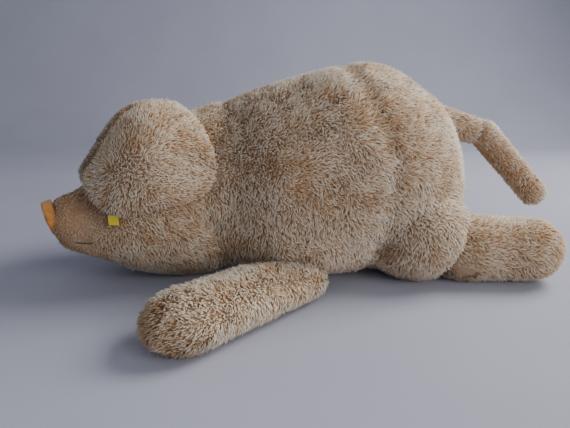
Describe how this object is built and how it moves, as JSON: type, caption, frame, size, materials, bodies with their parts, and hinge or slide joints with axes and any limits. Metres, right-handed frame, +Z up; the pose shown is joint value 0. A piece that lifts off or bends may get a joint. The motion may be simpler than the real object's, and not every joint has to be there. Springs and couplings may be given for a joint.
{
  "type": "plush pig",
  "caption": "Soft stuffed plush pig lying on its belly, with a swivelling head, floppy ears, swinging legs, a bendable tail and a flat oval snout.",
  "frame": {"origin": "on the floor under the trunk, at the middle of the flat of the belly", "axes": "+Y from snout to tail, +Z up, +X to the pig's left side"},
  "size_m": [0.3824, 0.4576, 0.1847],
  "materials": {
    "plush": "long curly pile, cream tips over rust roots",
    "plush_rust": "plush worn to its rust backing",
    "lining": "short pile",
    "stuffing": "loose fibre",
    "snout_leather": "matte suede",
    "nostril_felt": "felt",
    "thread": "waxed thread",
    "eye_plastic": "glossy",
    "washer_plastic": "matte",
    "ribbon": "plain woven tape"
  },
  "bodies": {
    "trunk": {"belly_gusset": "plush", "flank_panel_left": "plush", "flank_panel_right": "plush", "haunch_cover_left": "plush", "haunch_cover_right": "plush", "haunch_stuffing_left": "stuffing", "haunch_stuffing_right": "stuffing", "rump_panel_left": "plush", "rump_panel_right": "plush", "torso_stuffing": "stuffing"},
    "head": {"cheek_panel_left": "plush", "cheek_panel_right": "plush", "chin_panel": "plush", "crown_gusset": "plush", "eye_left": "eye_plastic", "eye_right": "eye_plastic", "eye_washer_left": "washer_plastic", "eye_washer_right": "washer_plastic", "head_stuffing": "stuffing", "mouth_stitch": "thread", "nostril_patches": "nostril_felt", "snout_disc": "snout_leather"},
    "ear_left": {"ear_lining_left": "lining", "ear_outer_left": "plush", "ear_tab": "ribbon"},
    "ear_right": {"ear_lining_right": "lining", "ear_outer_right": "plush"},
    "front_leg_left": {"front_leg_cover_left": "plush", "front_leg_sole_left": "plush_rust", "front_leg_stuffing_left": "stuffing"},
    "front_leg_right": {"front_leg_cover_right": "plush", "front_leg_sole_right": "plush_rust", "front_leg_stuffing_right": "stuffing"},
    "hind_leg_left": {"hind_leg_cover_left": "plush", "hind_leg_sole_left": "plush_rust", "hind_leg_stuffing_left": "stuffing"},
    "hind_leg_right": {"hind_leg_cover_right": "plush", "hind_leg_sole_right": "plush_rust", "hind_leg_stuffing_right": "stuffing"},
    "tail_base": {"tail_base_cover": "plush", "tail_base_stuffing": "stuffing"},
    "tail_tip": {"tail_tip_cover": "plush", "tail_tip_stuffing": "stuffing"}
  },
  "joints": [
    {"name": "head_turn", "type": "hinge", "parent": "trunk", "child": "head", "pos_m": [0, -0.01, 0.074], "axis": [0, 0, 1], "range_deg": [-30, 8]},
    {"name": "ear_flap_left", "type": "hinge", "parent": "head", "child": "ear_left", "pos_m": [0.04376, -0.11035, 0.1455], "axis": [0.4695, -0.8829, 0], "range_deg": [0, 75]},
    {"name": "ear_flap_right", "type": "hinge", "parent": "head", "child": "ear_right", "pos_m": [0.01727, -0.12443, 0.1455], "axis": [-0.4695, 0.8829, 0], "range_deg": [0, 75]},
    {"name": "shoulder_left", "type": "hinge", "parent": "trunk", "child": "front_leg_left", "pos_m": [0.09, 0.008, 0.018], "axis": [0, 0, 1], "range_deg": [-15, 35]},
    {"name": "shoulder_right", "type": "hinge", "parent": "trunk", "child": "front_leg_right", "pos_m": [-0.09, 0.008, 0.018], "axis": [0, 0, 1], "range_deg": [-35, 15]},
    {"name": "hip_left", "type": "hinge", "parent": "trunk", "child": "hind_leg_left", "pos_m": [0.04965, 0.15491, 0.028], "axis": [0, 0, 1], "range_deg": [-20, 10]},
    {"name": "hip_right", "type": "hinge", "parent": "trunk", "child": "hind_leg_right", "pos_m": [-0.07387, 0.14387, 0.028], "axis": [0, 0, 1], "range_deg": [-10, 20]},
    {"name": "tail_lift", "type": "hinge", "parent": "trunk", "child": "tail_base", "pos_m": [0, 0.142, 0.137], "axis": [1, 0, 0], "range_deg": [-15, 20], "stiffness_Nm_per_rad": 0.4},
    {"name": "tail_bend", "type": "hinge", "parent": "tail_base", "child": "tail_tip", "pos_m": [0, 0.187, 0.124], "axis": [1, 0, 0], "range_deg": [-20, 25], "stiffness_Nm_per_rad": 0.2}
  ]
}
